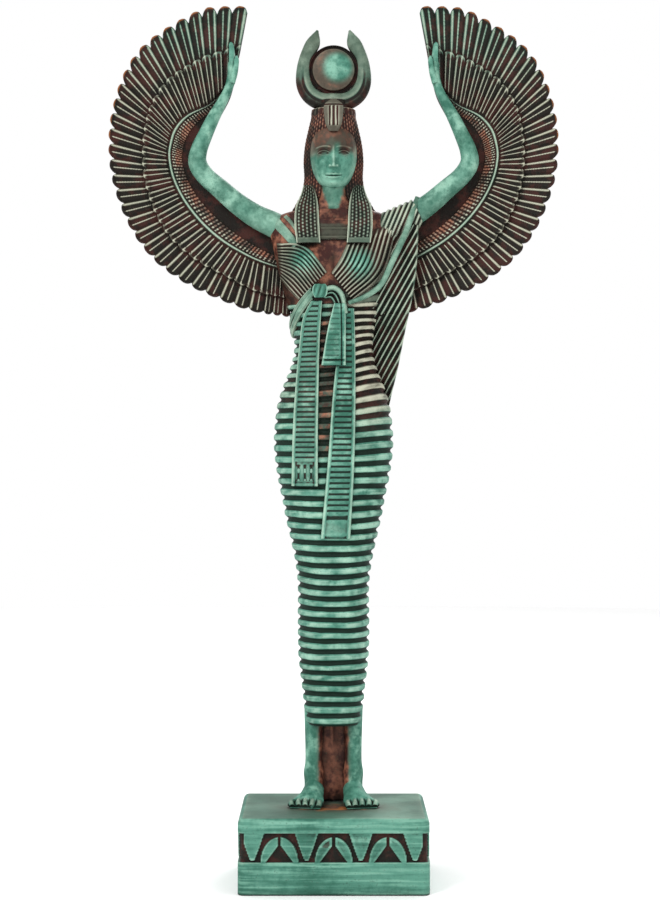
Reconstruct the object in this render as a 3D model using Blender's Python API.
"""A winged goddess statuette with raised arms, a horned sun disk and a pleated dress, standing on a plinth.

Metres, +Z up, the statue faces -Y. The origin is the middle of the plinth's underside.
The figure is drawn in its own units, of which UNITS_TALL reach from its soles to its highest feathers.
"""

import bisect
import math

import bmesh
import bpy
from mathutils import Vector

# Driving sizes of the figure
FIGURE_HEIGHT = 0.2927
FIGURE_SETBACK = 0.006
SEAT_GAP = 0.0003
UNITS_TALL = 292.7

# Driving sizes of the plinth
PLINTH_WIDTH = 0.0680
PLINTH_DEPTH = 0.056
PLINTH_HEIGHT = 0.027
PLINTH_CORNER = 0.0025
FOOT_BAND_HEIGHT = 0.0116
TOP_MOULDING_HEIGHT = 0.0050
TOP_MOULDING_ROUND = 0.0022
FRIEZE_RECESS = 0.0011
FRIEZE_PITCH = 0.0191
PETAL_WIDTH = 0.0085
ARCH_WIDTH = 0.0134
ARCH_BAND = 0.0024
PETAL_TIP = 0.0006
CARVING_SINK = 0.0006
BLOCK_LAP = 0.001

# Height, half width, depth to the front and depth to the back of the dress and the trunk
TRUNK = [
    (28.7, 9.6, 8.3, 8.3),
    (34.5, 10.5, 9.0, 9.2),
    (41.8, 11.3, 9.8, 10.2),
    (49.1, 12.2, 10.5, 11.4),
    (56.5, 12.8, 11.0, 12.2),
    (67.0, 12.9, 11.4, 11.8),
    (78.4, 12.8, 11.7, 10.4),
    (85.7, 13.4, 12.1, 10.2),
    (93.0, 14.7, 12.5, 10.6),
    (103.9, 17.2, 13.0, 12.0),
    (111.3, 18.6, 13.2, 13.4),
    (118.6, 20.1, 13.3, 14.8),
    (124.0, 21.0, 13.3, 15.6),
    (131.3, 21.7, 13.1, 15.9),
    (138.6, 21.4, 12.7, 15.2),
    (146.0, 20.4, 12.2, 13.8),
    (153.3, 18.2, 11.5, 11.6),
    (158.7, 16.0, 11.0, 10.2),
    (166.0, 14.2, 10.4, 9.2),
    (173.3, 14.7, 10.3, 9.0),
    (184.3, 17.4, 10.7, 9.4),
    (191.6, 19.4, 11.1, 9.9),
    (200.0, 21.4, 11.3, 10.3),
    (206.5, 22.9, 10.2, 10.3),
    (211.5, 23.4, 8.6, 9.8),
    (216.0, 19.5, 6.6, 8.2),
    (219.0, 9.8, 5.6, 6.6),
    (223.0, 5.2, 4.9, 5.4),
    (232.0, 5.0, 4.6, 5.2),
]
TRUNK_TURNS = [math.radians(degrees) for degrees in (0, 45, 90, 135, 180, 208, 240, 270, 300, 332)]
BUST = {"out": 9.8, "height": 196.5, "swell": 4.6, "spread": 5.6, "reach": 6.0}
LEG = {"out": 7.4, "height": 66.0, "swell": 1.3, "spread": 4.2, "reach": 34.0}

# Horizontal pleats of the dress
HEM_HEIGHT = 28.7
SKIRT_PLEATS = 31
SKIRT_PLEAT_PITCH = 3.97
WAIST_PLEATS = 10
WAIST_PLEAT_PITCH = 3.15
PLEAT_DEPTH = 0.85
HEM_ROLL = 1.6
HIP_RISE = {"lift": 3.4, "height": 154.0, "reach": 26.0}
SHIN_SAG = {"lift": -1.0, "height": 82.0, "reach": 26.0}
NECK_RINGS = [187.0, 191.5, 196.0, 201.0, 206.0, 210.5, 214.0, 217.5, 220.5, 224.0, 231.0]

# Height, half width, front and back of the wig behind the face
WIG = [
    (204.5, 14.0, 0.6, 11.6),
    (210.0, 16.6, 1.2, 11.8),
    (215.0, 16.4, 1.8, 11.8),
    (219.5, 14.0, 2.0, 11.6),
    (224.0, 11.8, 2.0, 11.6),
    (229.0, 10.7, 2.0, 11.8),
    (235.5, 10.9, 2.8, 12.0),
    (241.5, 10.4, 5.4, 12.0),
    (248.0, 9.0, 9.2, 11.0),
    (252.0, 8.0, 8.8, 9.6),
]
WIG_SIDES = 16

# The head under the wig: heights of the chin and the crown, and its half sizes
CHIN = 225.0
CROWN = 252.0
FACE_HALF_WIDTH = 8.8
FACE_FRONT = 10.4
HEAD_BACK = 8.0
HEAD_SIDES = 18
HEAD_RINGS = 15

# Disk, horns and the band that carries them
DISK_HEIGHT = 269.2
DISK_RADIUS = 9.1
DISK_BULGE = 3.0
DISK_RIM = 1.5
DISK_SEAT = 0.94
# Each row of a horn: place along it, across and above the disk's middle as shares of its radius,
# half thickness in the picture's plane and half thickness in depth
HORN = [
    (0.0, 0.0, -1.270, 3.4, 3.2),
    (1.0, 0.516, -1.237, 3.3, 3.2),
    (2.0, 0.945, -0.984, 3.0, 3.0),
    (3.0, 1.187, -0.566, 2.5, 2.8),
    (4.0, 1.237, -0.030, 2.1, 2.4),
    (5.0, 1.154, 0.532, 1.9, 2.1),
    (6.0, 0.868, 1.132, 2.2, 1.8),
    (7.0, 0.665, 1.640, 0.5, 0.6),
]
# The band stands between the top of the wig and the foot of the horns: share of that way, radius
CAP_FOOT = 248.0
CAP_SINK = 0.4
CAP_BAND = [(0.0, 8.0), (0.2, 8.3), (0.66, 8.0), (0.73, 5.6), (1.0, 5.0)]
COBRA = [
    (0.0, 0.0, -9.0, 245.4, 1.6, 1.6),
    (1.0, 0.0, -10.2, 248.0, 2.9, 1.8),
    (2.0, 0.0, -10.0, 251.6, 3.4, 1.9),
    (3.0, 0.0, -9.2, 255.0, 3.4, 2.0),
    (4.0, 0.0, -8.2, 257.2, 1.2, 1.4),
]

# Tress in front of each shoulder, from the ear down: height, out, half width and front
LAPPET = [
    (227.0, 9.2, 1.8, -0.8),
    (223.0, 9.2, 2.9, -3.4),
    (218.5, 9.7, 4.1, -6.4),
    (211.5, 9.7, 4.5, -10.6),
    (204.6, 9.1, 4.3, -13.4),
]
LAPPET_ROUND = 0.6
LAPPET_DEPTH = 4.6

# Collar and the sash's flat parts, from the top down: height, left edge and right edge
COLLAR = [(217.6, -5.0, 5.0), (214.0, -5.6, 5.6), (210.6, -6.0, 6.0), (206.0, -6.4, 6.4)]
COLLAR_PROUD = 1.0
RIGHT_SASH_END = [
    (183.6, -8.2, -4.2),
    (177.7, -11.1, -4.6),
    (169.7, -12.3, -5.0),
    (155.0, -13.7, -5.4),
    (136.8, -14.8, -5.7),
    (116.4, -15.3, -5.7),
]
LEFT_SASH_END = [
    (181.0, 4.0, 7.4),
    (170.0, 2.2, 7.8),
    (159.5, 0.8, 7.9),
    (147.8, -0.4, 7.9),
    (125.9, -2.0, 7.5),
    (97.4, -4.6, 6.0),
]
SHORT_SASH_END = [(182.6, 0.2, 4.2), (174.0, -2.0, 4.4), (160.2, -4.4, 4.4)]
KNOT = [(189.4, -7.3, -2.6), (187.2, -7.7, -2.2), (184.9, -7.0, -2.8)]
LONG_END_PROUD = 1.4
SHORT_END_PROUD = 2.6
KNOT_PROUD = 3.4
SLAB_TUCK = 2.6
LOOP = [(-3.4, 187.6), (0.2, 188.2), (3.1, 185.4), (4.2, 180.4)]
LOOP_WIDTH = 2.8
LOOP_RISE = 2.4
LOOP_TUCK = 1.4

# Girdle: it starts under the knot and drops round the right side of the waist
GIRDLE_HEIGHT = 186.4
GIRDLE_DROP = 13.4
GIRDLE_HALF = 2.3
GIRDLE_PROUD = 1.3
GIRDLE_TUCK = 2.8

# Folds over the breasts, each as three places (across, height) on the first fold line and on the last
RIGHT_FOLDS = (
    ((-20.8, 205.0), (-10.5, 203.6), (-2.4, 194.0)),
    ((-19.6, 192.6), (-16.4, 188.0), (-12.8, 184.2)),
)
SHAWL_FOLDS = (
    ((5.0, 204.6), (2.2, 198.4), (-0.8, 193.8)),
    ((25.4, 214.6), (19.0, 194.6), (7.2, 183.4)),
)
RIGHT_FOLD_PROUD = (0.2, 1.0)
SHAWL_FOLD_PROUD = (0.6, 1.5)
FOLD_TUCK = 2.4

# Rolled hem and sleeve of the shawl, as rows of a limb
SHAWL_HEM = [
    (0.0, 31.0, -0.5, 222.6, 0.9, 1.0),
    (1.0, 29.4, -4.4, 218.0, 1.1, 1.1),
    (2.0, 26.2, -7.0, 208.6, 1.1, 1.2),
    (3.0, 21.4, -9.4, 198.2, 1.1, 1.3),
    (4.0, 17.2, -10.6, 189.6, 1.0, 1.3),
    (5.0, 11.6, -12.4, 185.2, 0.9, 1.2),
    (6.0, 5.4, -12.4, 182.8, 0.7, 0.9),
]
SLEEVE = [
    (0.0, 12.0, 1.2, 207.6, 6.0, 6.6),
    (1.0, 19.0, 0.4, 210.6, 6.2, 6.8),
    (2.0, 25.0, 0.0, 213.6, 5.8, 6.0),
    (3.0, 30.8, -0.4, 217.0, 4.9, 5.0),
]

# End of the shawl that hangs behind the left hip: height and outer edge
SHAWL_END = [
    (146.0, 20.6),
    (151.4, 21.8),
    (158.7, 23.6),
    (167.9, 25.4),
    (177.0, 27.2),
    (184.3, 28.7),
    (196.0, 30.4),
    (207.0, 30.4),
]
SHAWL_END_INNER = 12.0
SHAWL_END_LEAST_WIDTH = 8.6
SHAWL_END_FRONT = 2.4
SHAWL_END_RIDGE = 1.1
SHAWL_END_BACK = (7.4, 8.8, 7.6)

# Wing, seen from the front on the figure's left: each row is one feather line, from the arm to its tip,
# as (across, height) at the arm, the covert rim, the tips of the short feathers and the tips of the long ones
WING = [
    ((36.3, 267.9), (35.9, 271.4), (34.3, 277.6), (31.2, 292.3)),
    ((38.4, 260.2), (40.8, 262.3), (41.0, 275.4), (40.4, 292.3)),
    ((41.8, 253.6), (45.7, 257.3), (48.2, 273.0), (50.4, 290.5)),
    ((46.3, 245.4), (54.1, 253.4), (59.8, 265.8), (67.8, 279.9)),
    ((48.0, 240.3), (58.8, 248.5), (66.1, 257.1), (76.5, 268.7)),
    ((48.6, 237.3), (60.8, 242.6), (68.8, 247.9), (81.4, 254.0)),
    ((48.6, 235.2), (61.2, 237.1), (69.6, 237.9), (82.6, 240.3)),
    ((46.9, 231.1), (59.6, 229.7), (68.6, 227.7), (80.8, 226.7)),
    ((43.3, 226.0), (55.7, 221.6), (64.7, 216.4), (75.1, 211.8)),
    ((37.1, 220.3), (49.6, 213.6), (58.8, 207.1), (66.7, 199.9)),
    ((31.0, 215.4), (42.4, 207.1), (49.4, 199.3), (55.5, 191.3)),
    ((25.5, 211.3), (34.9, 202.4), (39.8, 194.2), (43.5, 185.4)),
    ((20.0, 207.7), (27.1, 198.7), (28.6, 188.5), (30.0, 180.5)),
    ((11.2, 203.6), (15.3, 195.0), (15.7, 185.6), (15.9, 178.3)),
]
WING_FEATHERS = 30
WING_LAST_FEATHER = 12.3
WING_ROOT_FRONT = 3.2
WING_SWEEP = 6.0
WING_THICKNESS = 4.4
WING_EDGE = 2.6
FEATHER_RISE = 0.9
ROW_STEP = 0.8
TIP_SCALLOP = 1.1

# Arm: place along it, across, back, height, half thickness in the wing's plane and half thickness in depth
ARM = [
    (0.0, 12.2, 1.5, 207.7, 4.6, 5.2),
    (1.0, 21.9, 0.6, 212.4, 4.7, 5.0),
    (2.0, 28.6, 0.0, 215.6, 4.3, 4.4),
    (3.0, 35.3, -0.8, 220.1, 3.9, 3.9),
    (4.0, 41.6, -1.8, 225.4, 3.6, 3.7),
    (5.0, 46.9, -2.6, 230.0, 3.4, 3.5),
    (6.0, 49.8, -3.0, 234.6, 3.4, 3.3),
    (7.0, 49.4, -3.0, 239.3, 3.1, 3.1),
    (8.0, 47.1, -2.8, 245.0, 2.7, 2.9),
    (9.0, 43.9, -2.4, 251.8, 2.3, 2.6),
    (10.0, 40.4, -2.0, 258.3, 1.8, 2.2),
    (11.0, 38.4, -1.8, 262.8, 1.6, 2.0),
    (12.0, 37.3, -1.8, 267.9, 2.0, 3.0),
    (13.0, 37.2, -1.8, 273.4, 1.6, 2.9),
    (14.0, 37.4, -1.6, 277.3, 1.3, 2.3),
    (15.0, 37.7, -1.4, 279.5, 0.7, 1.1),
]
ARM_SIDES = 6
THUMB = [
    (0.0, 37.3, -3.4, 265.2, 1.3, 1.3),
    (1.0, 35.9, -4.8, 269.3, 1.2, 1.2),
    (2.0, 35.3, -5.0, 273.2, 0.9, 0.9),
    (3.0, 35.3, -4.8, 275.6, 0.4, 0.4),
]

# Feet, ankles and the wall of stone between them.
# Each row of a foot is a station from the heel to the toe tips,
# as (key, middle, back, half width, height of the instep, height of the toes' crests over their grooves)
ANKLE_OUT = 7.3
ANKLE_BACK = 2.2
ANKLE = [(1.2, 3.6, 5.0), (9.0, 3.3, 4.1), (17.0, 3.1, 3.6), (34.0, 3.5, 4.0)]
ANKLE_WALL = ((-7.0, 3.0), (0.0, 2.2), (7.0, 3.0), (7.0, 6.6), (-7.0, 6.6))
ANKLE_TOP = 34.0
FOOT = [
    (0.0, 7.3, 7.8, 2.2, 3.4, 0.0),
    (1.0, 7.3, 5.6, 3.3, 6.8, 0.0),
    (2.0, 7.3, 0.6, 3.8, 9.4, 0.0),
    (3.0, 8.2, -4.4, 4.4, 6.6, 0.0),
    (4.0, 9.5, -8.8, 5.9, 4.0, 0.6),
    (5.0, 10.2, -11.6, 6.4, 2.8, 1.5),
    (6.0, 10.3, -13.9, 6.3, 2.3, 1.6),
    (7.0, 10.3, -15.3, 5.9, 1.3, 0.5),
]
TOES = 5
TOE_SHORTER = 2.3

GREEN = (0.20, 0.47, 0.37)


def clear_scene():
    for obj in list(bpy.data.objects):
        bpy.data.objects.remove(obj, do_unlink=True)


def patina(name):
    material = bpy.data.materials.new(name)
    material.use_nodes = True
    shader = material.node_tree.nodes["Principled BSDF"]
    shader.inputs["Base Color"].default_value = (*GREEN, 1.0)
    shader.inputs["Roughness"].default_value = 0.62
    shader.inputs["Metallic"].default_value = 0.0
    return material


def along(rows, at):
    """The values of rows of (key, value, ...) at a key, on a smooth curve through the rows."""
    keys = [row[0] for row in rows]
    at = min(max(at, keys[0]), keys[-1])
    i = min(max(bisect.bisect_right(keys, at) - 1, 0), len(rows) - 2)
    span = keys[i + 1] - keys[i]
    f = (at - keys[i]) / span

    def slope(j, column):
        low, high = max(j - 1, 0), min(j + 1, len(rows) - 1)
        return (rows[high][column] - rows[low][column]) / (keys[high] - keys[low])

    values = []
    for column in range(1, len(rows[0])):
        start, end = rows[i][column], rows[i + 1][column]
        leave, arrive = slope(i, column) * span, slope(i + 1, column) * span
        values.append(
            (2 * f**3 - 3 * f**2 + 1) * start
            + (f**3 - 2 * f**2 + f) * leave
            + (3 * f**2 - 2 * f**3) * end
            + (f**3 - f**2) * arrive
        )
    return values


def bell(distance, spread):
    return math.exp(-((distance / spread) ** 2))


def at_place(x, y, z):
    """A point of the figure's own drawing, set on the plinth."""
    unit = FIGURE_HEIGHT / UNITS_TALL
    return Vector((x * unit, y * unit + FIGURE_SETBACK, z * unit + PLINTH_HEIGHT + SEAT_GAP))


def object_from(bm, name):
    bmesh.ops.recalc_face_normals(bm, faces=bm.faces)
    mesh = bpy.data.meshes.new(name)
    bm.to_mesh(mesh)
    bm.free()
    obj = bpy.data.objects.new(name, mesh)
    bpy.context.scene.collection.objects.link(obj)
    return obj


def end_of(loop, end):
    """The faces that close a ring: one flat face, a sheet's quads, or triangles from the ring's last point."""
    if end == "flat":
        return [loop]
    if end == "sheet":
        pairs = list(zip(loop[: len(loop) // 2], reversed(loop[len(loop) // 2 :])))
        return [(a, c, d, b) for (a, b), (c, d) in zip(pairs, pairs[1:])]
    return [(loop[-1], one, other) for one, other in zip(loop, loop[1:-1])]


def loft(name, rings, end="flat"):
    """A closed body through rings of as many points each."""
    bm = bmesh.new()
    loops = [[bm.verts.new(point) for point in ring] for ring in rings]
    sides = len(rings[0])
    for lower, upper in zip(loops, loops[1:]):
        for k in range(sides):
            bm.faces.new((lower[k], lower[(k + 1) % sides], upper[(k + 1) % sides], upper[k]))
    for loop in (loops[0], loops[-1]):
        for face in end_of(loop, end):
            bm.faces.new(face)
    bmesh.ops.triangulate(bm, faces=bm.faces, ngon_method="EAR_CLIP")
    return object_from(bm, name)


def swept(name, rows, steps, sides, mirror=1):
    """A limb through rows of (key, across, back, height, half thickness in the picture's plane, half depth)."""
    last = rows[-1][0]
    rings = []
    for i in range(steps + 1):
        key = last * i / steps
        x, y, z, thick, deep = along(rows, key)
        ahead = along(rows, min(key + 0.05, last))
        behind = along(rows, max(key - 0.05, 0))
        way = Vector((ahead[0] - behind[0], ahead[2] - behind[2])).normalized()
        ring = []
        for k in range(sides):
            turn = 2 * math.pi * (k + 0.5) / sides
            out = thick * math.cos(turn)
            ring.append(at_place(mirror * (x + way.y * out), y + deep * math.sin(turn), z - way.x * out))
        rings.append(ring)
    return loft(name, rings)


def trunk_section(height, turn):
    """Across and back of the trunk at a turn about its axis: 0 is +X and a quarter turn back is the front."""
    half, front, back = along(TRUNK, height)
    squareness = 0.92
    c, s = math.cos(turn), math.sin(turn)
    x = half * math.copysign(abs(c) ** squareness, c)
    y = (back if s > 0 else front) * math.copysign(abs(s) ** squareness, s)
    if s < 0:
        y -= swell_in_front(x, height)
    return x, y


def swell_in_front(x, height):
    """How far the bust and the legs push the front out."""
    total = 0.0
    for form in (BUST, LEG):
        across = bell(abs(x) - form["out"], form["spread"])
        total += form["swell"] * across * bell(height - form["height"], form["reach"])
    return total


def front_of(x, height, proud=0.0):
    """How far back the front of the trunk lies at a place seen from the front."""
    half, front, _ = along(TRUNK, height)
    share = min(abs(x) / half, 0.97)
    return -front * (1 - share**2.17) ** 0.46 - swell_in_front(x, height) - proud


def pleat_lift(height, turn):
    """How much higher a dress pleat runs at this turn: it rises to the left hip and sags over the shins."""
    hip = HIP_RISE["lift"] * bell(height - HIP_RISE["height"], HIP_RISE["reach"])
    shins = SHIN_SAG["lift"] * bell(height - SHIN_SAG["height"], SHIN_SAG["reach"])
    return hip * max(0.0, math.cos(turn + 0.35)) ** 2 + shins * max(0.0, -math.sin(turn)) ** 2


def trunk():
    """Dress, chest and neck as one body, with a ring in each groove and on each crest of the pleats."""
    rows = [(HEM_HEIGHT, 0.0), (HEM_HEIGHT + HEM_ROLL, PLEAT_DEPTH)]
    groove = HEM_HEIGHT + SKIRT_PLEAT_PITCH
    for k in range(SKIRT_PLEATS + WAIST_PLEATS):
        pitch = SKIRT_PLEAT_PITCH if k < SKIRT_PLEATS else WAIST_PLEAT_PITCH
        rows.append((groove, 0.0))
        rows.append((groove + 0.55 * pitch, PLEAT_DEPTH))
        groove += pitch
    rows += [(height, 0.0) for height in NECK_RINGS if height > groove]
    rings = []
    for height, proud in rows:
        ring = []
        for turn in TRUNK_TURNS:
            level = height + pleat_lift(height, turn)
            x, y = trunk_section(level, turn)
            out = Vector((x, y)).normalized() * (proud - PLEAT_DEPTH / 2)
            ring.append(at_place(x + out.x, y + out.y, level))
        rings.append(ring)
    return loft("trunk", rings)


def ridge(name, places, width, rise, tuck=0.7):
    """A fold that runs over the front of the trunk through places of (across, height)."""
    rows = [(float(i), *place) for i, place in enumerate(places)]
    steps = 2 * (len(places) - 1)
    rings = []
    for i in range(steps + 1):
        key = rows[-1][0] * i / steps
        x, z = along(rows, key)
        ahead = Vector(along(rows, min(key + 0.05, rows[-1][0])))
        way = (ahead - Vector(along(rows, max(key - 0.05, 0.0)))).normalized()
        ring = []
        for side, proud in ((-1, -tuck), (0, rise), (1, -tuck)):
            px, pz = x - way.y * side * width / 2, z + way.x * side * width / 2
            ring.append(at_place(px, front_of(px, pz, proud), pz))
        rings.append(ring)
    return loft(name, rings)


def fan(name, line, folds, valley, crest):
    """Cloth gathered in a number of folds. line gives the places of the fan's line at a share of its width."""
    steps = 4
    rings = [[] for _ in range(steps + 1)]
    for k in range(2 * folds + 1):
        places = [(float(i), *place) for i, place in enumerate(line(k / (2 * folds)))]
        for i in range(steps + 1):
            x, z = along(places, places[-1][0] * i / steps)
            rings[i].append((x, z, crest if k % 2 else valley))
    shaped = []
    for ring in rings:
        deep = [(x, z, -FOLD_TUCK) for x, z, _ in reversed(ring)]
        shaped.append([at_place(x, front_of(x, z, proud), z) for x, z, proud in ring + deep])
    return loft(name, shaped, end="sheet")


def fold_lines(first, last):
    """The line of a fan's folds at each share of the way from its first line to its last."""

    def line(share):
        return [tuple(a + (b - a) * share for a, b in zip(one, other)) for one, other in zip(first, last)]

    return line


def bodice_folds():
    """Folds over the right breast, which meet at the knot, and those of the shawl over the left shoulder."""
    return [
        fan("right_folds", fold_lines(*RIGHT_FOLDS), 6, *RIGHT_FOLD_PROUD),
        fan("shawl_folds", fold_lines(*SHAWL_FOLDS), 7, *SHAWL_FOLD_PROUD),
    ]


def slab(name, rows, thickness, columns=2):
    """A flat band that lies on the front of the trunk: rows of (height, left edge, right edge)."""
    rings = []
    for height, left, right in rows:
        across = [left + (right - left) * c / columns for c in range(columns + 1)]
        face = [at_place(x, front_of(x, height, thickness), height) for x in across]
        tuck = [at_place(x, front_of(x, height, -SLAB_TUCK), height) for x in reversed(across)]
        rings.append(face + tuck)
    return loft(name, rings, end="sheet")


def sash():
    """The knot under the bust, the girdle round the right side and the ends that hang from the knot."""
    pieces = [
        slab("right_sash_end", RIGHT_SASH_END, LONG_END_PROUD),
        slab("left_sash_end", LEFT_SASH_END, LONG_END_PROUD),
        slab("short_sash_end", SHORT_SASH_END, SHORT_END_PROUD),
        slab("knot", KNOT, KNOT_PROUD),
        ridge("left_loop", LOOP, LOOP_WIDTH, LOOP_RISE, tuck=LOOP_TUCK),
    ]
    corners = ((-1, GIRDLE_PROUD), (1, GIRDLE_PROUD), (1, -GIRDLE_TUCK), (-1, -GIRDLE_TUCK))
    rings = []
    for i in range(9):
        share = i / 8
        turn = math.radians(-112 - 178 * share)
        middle = GIRDLE_HEIGHT - GIRDLE_DROP * math.sin(min(share * 2.2, 1.0) * math.pi / 2)
        ring = []
        for lift, proud in corners:
            height = middle + lift * GIRDLE_HALF
            x, y = trunk_section(height, turn)
            out = Vector((x, y)).normalized() * proud
            ring.append(at_place(x + out.x, y + out.y, height))
        rings.append(ring)
    pieces.append(loft("girdle", rings))
    return pieces


def shawl():
    """The rolled hem from the left shoulder to the knot, the sleeve, and the end that hangs behind the hip."""
    rings = []
    for height, outer in SHAWL_END:
        inner = min(SHAWL_END_INNER, outer - SHAWL_END_LEAST_WIDTH)
        front = [inner + (outer - inner) * c / 6 for c in range(7)]
        ring = []
        for c, x in enumerate(front):
            ring.append(at_place(x, SHAWL_END_FRONT - (SHAWL_END_RIDGE if c % 2 else 0.0), height))
        for x, back in zip((outer, (inner + outer) / 2, inner), SHAWL_END_BACK):
            ring.append(at_place(x, back, height))
        rings.append(ring)
    return [swept("shawl_hem", SHAWL_HEM, 9, 6), swept("sleeve", SLEEVE, 4, 10), loft("shawl_end", rings)]


def face_relief(x, z):
    """How far a face on even thirds stands out at a place, for the head's own round form."""
    third = (CROWN - CHIN) * 0.262
    nose_end = CHIN + third
    brow = CHIN + 2 * third
    eyes = brow - 0.24 * third
    mouth = CHIN + 0.62 * third
    side = abs(x)
    relief = -1.0 * bell(side - 3.2, 2.1) * bell(z - eyes, 1.7)
    relief += 0.75 * bell(side - 3.2, 1.3) * bell(z - eyes, 0.8)
    relief += 0.35 * bell(side - 3.2, 2.6) * bell(z - brow - 0.4, 0.8)
    bridge = min(max((brow - z) / (brow - nose_end), 0.0), 1.0)
    if nose_end - 1.0 < z < brow + 1.5:
        fall = min(max((z - nose_end + 0.9) / 1.1, 0.0), 1.0)
        relief += (0.6 + 2.0 * bridge) * fall * bell(side, 1.0 + 0.6 * bridge)
    relief += 0.75 * bell(side, 2.5) * (bell(z - mouth - 0.6, 0.6) + 1.1 * bell(z - mouth + 0.75, 0.7))
    relief += 0.8 * bell(side, 2.4) * bell(z - CHIN - 1.7, 1.5)
    relief += 0.5 * bell(side - 5.0, 2.0) * bell(z - nose_end - 0.5, 2.4)
    return relief


def head():
    """An egg with its narrow end at the chin, with the face raised on its front."""
    middle = (CROWN + CHIN) / 2
    half_tall = (CROWN - CHIN) / 2
    rings = []
    for i in range(1, HEAD_RINGS):
        climb = math.pi * i / HEAD_RINGS
        z = middle - half_tall * math.cos(climb)
        level = math.sin(climb) ** 0.7
        narrow = 1.0 - 0.08 * bell(z - CHIN, 8.0)
        ring = []
        for k in range(HEAD_SIDES):
            turn = 2 * math.pi * k / HEAD_SIDES
            turn -= 0.32 * math.sin(2 * turn) * (1 if math.sin(turn) < 0 else 0)
            c, s = math.cos(turn), math.sin(turn)
            x = FACE_HALF_WIDTH * narrow * level * c
            y = (HEAD_BACK if s > 0 else FACE_FRONT) * level * s
            if s < -0.1:
                y -= face_relief(x, z) * min(1.0, -2 * s)
            ring.append(at_place(x, y, z))
        rings.append(ring)
    return loft("head", rings)


def wig():
    rings = []
    for height, half, front, back in WIG:
        ring = []
        for k in range(WIG_SIDES):
            turn = 2 * math.pi * (k + 0.5) / WIG_SIDES
            y = back * math.sin(turn) if math.sin(turn) > 0 else front * math.sin(turn)
            ring.append(at_place(half * math.cos(turn), y, height))
        rings.append(ring)
    return loft("wig", rings)


def lappet(side):
    """The tress that falls from behind the ear over the shoulder and lies on the breast."""
    outline = [(-1, LAPPET_ROUND), (-0.5, 0.0), (0.5, 0.0), (1, LAPPET_ROUND)]
    outline += [(1, LAPPET_DEPTH), (-1, LAPPET_DEPTH)]
    rings = []
    for height, out, half, front in LAPPET:
        rings.append([at_place(side * (out + half * across), front + back, height) for across, back in outline])
    return loft("lappet", rings)


def collar():
    """The broad collar between the tresses."""
    return slab("collar", COLLAR, COLLAR_PROUD)


def turned(name, rows, sides, deep=1.0):
    rings = []
    for height, radius in rows:
        turns = [2 * math.pi * k / sides for k in range(sides)]
        rings.append([at_place(radius * math.cos(t), deep * radius * math.sin(t), height) for t in turns])
    return loft(name, rings)


def crown():
    """Band, disk, the two horns as one sweep from tip to tip, and the cobra on the brow."""
    disk = []
    for back, share in ((-1, 0.5), (-1, DISK_SEAT), (1, DISK_SEAT), (1, 0.5)):
        depth = DISK_RIM + (DISK_BULGE - DISK_RIM) * (1 - share**2)
        radius = share * DISK_RADIUS / DISK_SEAT
        turns = [2 * math.pi * k / 16 for k in range(16)]
        disk.append([
            at_place(radius * math.cos(t), back * depth, DISK_HEIGHT + radius * math.sin(t)) for t in turns
        ])
    half = [
        (key, across * DISK_RADIUS, DISK_HEIGHT + up * DISK_RADIUS, thick, deep)
        for key, across, up, thick, deep in HORN
    ]
    tips = [(-row[0], -row[1], *row[2:]) for row in reversed(half[1:])] + half
    horns = [(row[0] - tips[0][0], row[1], 0.0, *row[2:]) for row in tips]
    way_up = half[0][2] + CAP_SINK - CAP_FOOT
    band = [(CAP_FOOT + share * way_up, radius) for share, radius in CAP_BAND]
    return [
        turned("cap_band", band, 12),
        loft("disk", disk),
        swept("horns", horns, 16, 5),
        swept("cobra", COBRA, 4, 6),
    ]


def wing_line(key):
    """Arm, rim, short tip and long tip of the feather line at this key, each as (across, height)."""
    rows = [(float(i), *[value for point in row for value in point]) for i, row in enumerate(WING)]
    flat = along(rows, key)
    return [Vector(flat[i : i + 2]) for i in (0, 2, 4, 6)]


def even_keys():
    """Keys of the wing's lines at even steps round its edge, two to a feather, and of its hidden root."""
    fine = [WING_LAST_FEATHER * i / 400 for i in range(401)]
    tips = [wing_line(key)[3] for key in fine]
    walked = [0.0]
    for here, there in zip(tips, tips[1:]):
        walked.append(walked[-1] + (there - here).length)
    keys = []
    for i in range(2 * WING_FEATHERS + 1):
        goal = walked[-1] * i / (2 * WING_FEATHERS)
        keys.append(fine[min(bisect.bisect_left(walked, goal), 400)])
    return keys + [len(WING) - 1.0]


def wing(side):
    """A fan of overlapping feathers in two rows. It bends forwards towards its edge."""
    rings = []
    for i, key in enumerate(even_keys()):
        arm, rim, middle, tip = wing_line(key)
        groove = i % 2 == 0 or i > 2 * WING_FEATHERS
        rise = 0.0 if groove else FEATHER_RISE
        reach = (tip - middle).normalized() * (-TIP_SCALLOP if groove else 0.0)
        tip = tip + reach
        stops = [
            (arm, 0.0, 0.0), (rim, 0.33, 1.0),
            (middle, 0.62, rise + 0.3),
            (middle.lerp(tip, 0.07), 0.66, rise - ROW_STEP), (tip, 1.0, rise - ROW_STEP * 0.5),
        ]
        ring = []
        for point, share, lift in stops:
            ring.append(at_place(side * point.x, WING_ROOT_FRONT - WING_SWEEP * share**2 - lift, point.y))
        for point, share, lift in ((tip, 1.0, 0.4 * rise), (arm, 0.0, 0.0)):
            thick = WING_THICKNESS + (WING_EDGE - WING_THICKNESS) * share
            back = WING_ROOT_FRONT - WING_SWEEP * share**2 + thick + lift
            ring.append(at_place(side * point.x, back, point.y))
        rings.append(ring)
    return loft("wing", rings, end="corner")


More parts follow.
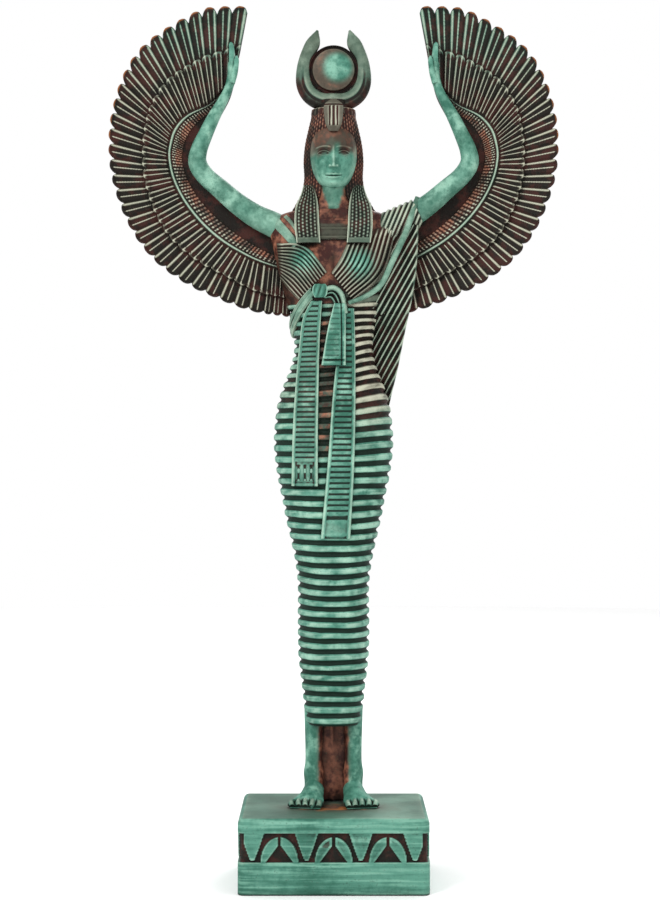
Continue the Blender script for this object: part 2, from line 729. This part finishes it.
def foot(side):
    """A foot from the heel to five toes, each a little shorter than the one inside it."""
    rings = []
    for _, x, y, half, tall, parting in FOOT:
        places = [(-0.86, 0.0)]
        for k in range(2 * TOES + 1):
            share = k / TOES - 1
            up = (1 - 0.5 * share**2 * (0.5 if parting else 1.0)) * tall - (parting if k % 2 == 0 else 0.0)
            places.append((share, max(up, 0.5)))
        places.append((0.86, 0.0))
        shorter = TOE_SHORTER / 2 if parting else 0.0
        rings.append([
            at_place(side * (x + half * share), y + shorter * (1 + share), up) for share, up in places
        ])
    return loft("foot", rings)


def ankles():
    """Both ankles and the wall of stone that is left between them."""
    pieces = []
    for side in (-1, 1):
        rings = []
        for height, half, deep in ANKLE:
            turns = [2 * math.pi * k / 10 for k in range(10)]
            rings.append([
                at_place(side * ANKLE_OUT + half * math.cos(t), ANKLE_BACK + deep * math.sin(t), height)
                for t in turns
            ])
        pieces.append(loft("ankle", rings))
    wall = [[at_place(x, y, height) for x, y in ANKLE_WALL] for height in (0.0, ANKLE_TOP)]
    pieces.append(loft("ankle_wall", wall))
    return pieces


def fuse(base, others):
    """Joins others into base as one solid, and removes them."""
    group = bpy.data.collections.new("joined")
    bpy.context.scene.collection.children.link(group)
    for other in others:
        group.objects.link(other)
    union = base.modifiers.new("union", "BOOLEAN")
    union.operation = "UNION"
    union.solver = "EXACT"
    union.operand_type = "COLLECTION"
    union.collection = group
    graph = bpy.context.evaluated_depsgraph_get()
    mesh = bpy.data.meshes.new_from_object(base.evaluated_get(graph))
    base.modifiers.clear()
    base.data = mesh
    for other in others:
        bpy.data.objects.remove(other, do_unlink=True)
    bpy.data.collections.remove(group)
    return base


def figure():
    body = trunk()
    body.name = "figure"
    others = [head(), wig(), collar(), *crown(), *ankles()]
    for side in (-1, 1):
        others += [wing(side), swept("arm", ARM, 13, ARM_SIDES, side), lappet(side), foot(side)]
        others.append(swept("thumb", THUMB, 3, 5, side))
    others += bodice_folds() + sash() + shawl()
    return fuse(body, others)


def box(name, width, depth, low, high, corner):
    """An upright block with its vertical edges rounded."""
    bm = bmesh.new()
    bmesh.ops.create_cube(bm, size=1.0)
    for vert in bm.verts:
        vert.co.x *= width
        vert.co.y *= depth
        vert.co.z = low if vert.co.z < 0 else high
    upright = [e for e in bm.edges if abs(e.verts[0].co.z - e.verts[1].co.z) > 1e-6]
    bmesh.ops.bevel(bm, geom=upright, offset=corner, segments=2, affect="EDGES", profile=0.5)
    return object_from(bm, name)


def round_rim(obj, level, radius):
    """Rounds the rim of a block at one level."""
    bm = bmesh.new()
    bm.from_mesh(obj.data)
    rim = [e for e in bm.edges if all(abs(v.co.z - level) < 1e-6 for v in e.verts)]
    bmesh.ops.bevel(bm, geom=rim, offset=radius, segments=3, affect="EDGES", profile=0.5, clamp_overlap=True)
    bm.to_mesh(obj.data)
    bm.free()
    return obj


def prism(name, outline, turn, face, out, sink):
    """A raised ornament: an outline of (along the face, height) on the plinth's side that faces this turn."""
    bm = bmesh.new()
    way = Vector((math.cos(turn), math.sin(turn), 0))
    normal = Vector((math.sin(turn), -math.cos(turn), 0))
    inner = [bm.verts.new(way * a + normal * (face - sink) + Vector((0, 0, z))) for a, z in outline]
    outer = [bm.verts.new(way * a + normal * (face + out) + Vector((0, 0, z))) for a, z in outline]
    bm.faces.new(inner)
    bm.faces.new(outer)
    for k in range(len(outline)):
        j = (k + 1) % len(outline)
        bm.faces.new((inner[k], inner[j], outer[j], outer[k]))
    return object_from(bm, name)


def frieze():
    """Lotus petals hanging from the moulding, and an arch of two leaves between each two of them."""
    low = FOOT_BAND_HEIGHT
    high = PLINTH_HEIGHT - TOP_MOULDING_HEIGHT
    tall = high - low
    pieces = []
    for quarter in range(4):
        long_side = quarter % 2 == 0
        run = PLINTH_WIDTH if long_side else PLINTH_DEPTH
        face = (PLINTH_DEPTH if long_side else PLINTH_WIDTH) / 2 - FRIEZE_RECESS
        turn = quarter * math.pi / 2
        count = max(1, round(run / FRIEZE_PITCH - 0.45))
        pitch = min(FRIEZE_PITCH, (run - 2 * PLINTH_CORNER) / count)
        raised = (turn, face, FRIEZE_RECESS * 0.85, CARVING_SINK)
        for k in range(count + 1):
            at = (k - count / 2) * pitch
            room = run / 2 - PLINTH_CORNER
            left, right = max(at - PETAL_WIDTH / 2, -room), min(at + PETAL_WIDTH / 2, room)
            point = min(max(at, left + PETAL_TIP), right - PETAL_TIP)
            petal = [(left, high + BLOCK_LAP), (right, high + BLOCK_LAP)]
            petal += [(point + PETAL_TIP, low + PETAL_TIP), (point - PETAL_TIP, low + PETAL_TIP)]
            pieces.append(prism("petal", petal, *raised))
        for k in range(count):
            at = (k + 0.5 - count / 2) * pitch
            for side in (-1, 1):
                pieces.append(prism("leaf", leaf(at, side, low, tall), *raised))
    return pieces


def leaf(at, side, low, tall):
    """One half of an arch, as a leaf: its outer edge is a quarter of an ellipse, its inner edge is straighter."""
    half = ARCH_WIDTH / 2
    outline = []
    for j in range(4):
        turn = math.radians(6 + 80 * j / 3)
        outline.append((at + side * half * math.cos(turn), low + tall * 0.84 * math.sin(turn)))
    outline.append((at + side * half * 0.16, low + tall * 0.52))
    outline.append((at + side * (half - ARCH_BAND), low + tall * 0.12))
    return outline if side > 0 else outline[::-1]


def plinth():
    body = box("plinth", PLINTH_WIDTH, PLINTH_DEPTH, 0.0, FOOT_BAND_HEIGHT, PLINTH_CORNER)
    inset = 2 * FRIEZE_RECESS
    ground = box(
        "frieze_ground", PLINTH_WIDTH - inset, PLINTH_DEPTH - inset,
        FOOT_BAND_HEIGHT - BLOCK_LAP, PLINTH_HEIGHT - BLOCK_LAP, PLINTH_CORNER,
    )
    moulding_foot = PLINTH_HEIGHT - TOP_MOULDING_HEIGHT
    moulding = box("moulding", PLINTH_WIDTH, PLINTH_DEPTH, moulding_foot, PLINTH_HEIGHT, PLINTH_CORNER)
    round_rim(moulding, PLINTH_HEIGHT, TOP_MOULDING_ROUND)
    return fuse(body, [ground, moulding, *frieze()])


def build():
    clear_scene()
    for obj, finish in ((figure(), "figure_patina"), (plinth(), "plinth_patina")):
        obj.data.materials.clear()
        obj.data.materials.append(patina(finish))
        print(obj.name, sum(len(p.vertices) - 2 for p in obj.data.polygons), "triangles")


build()
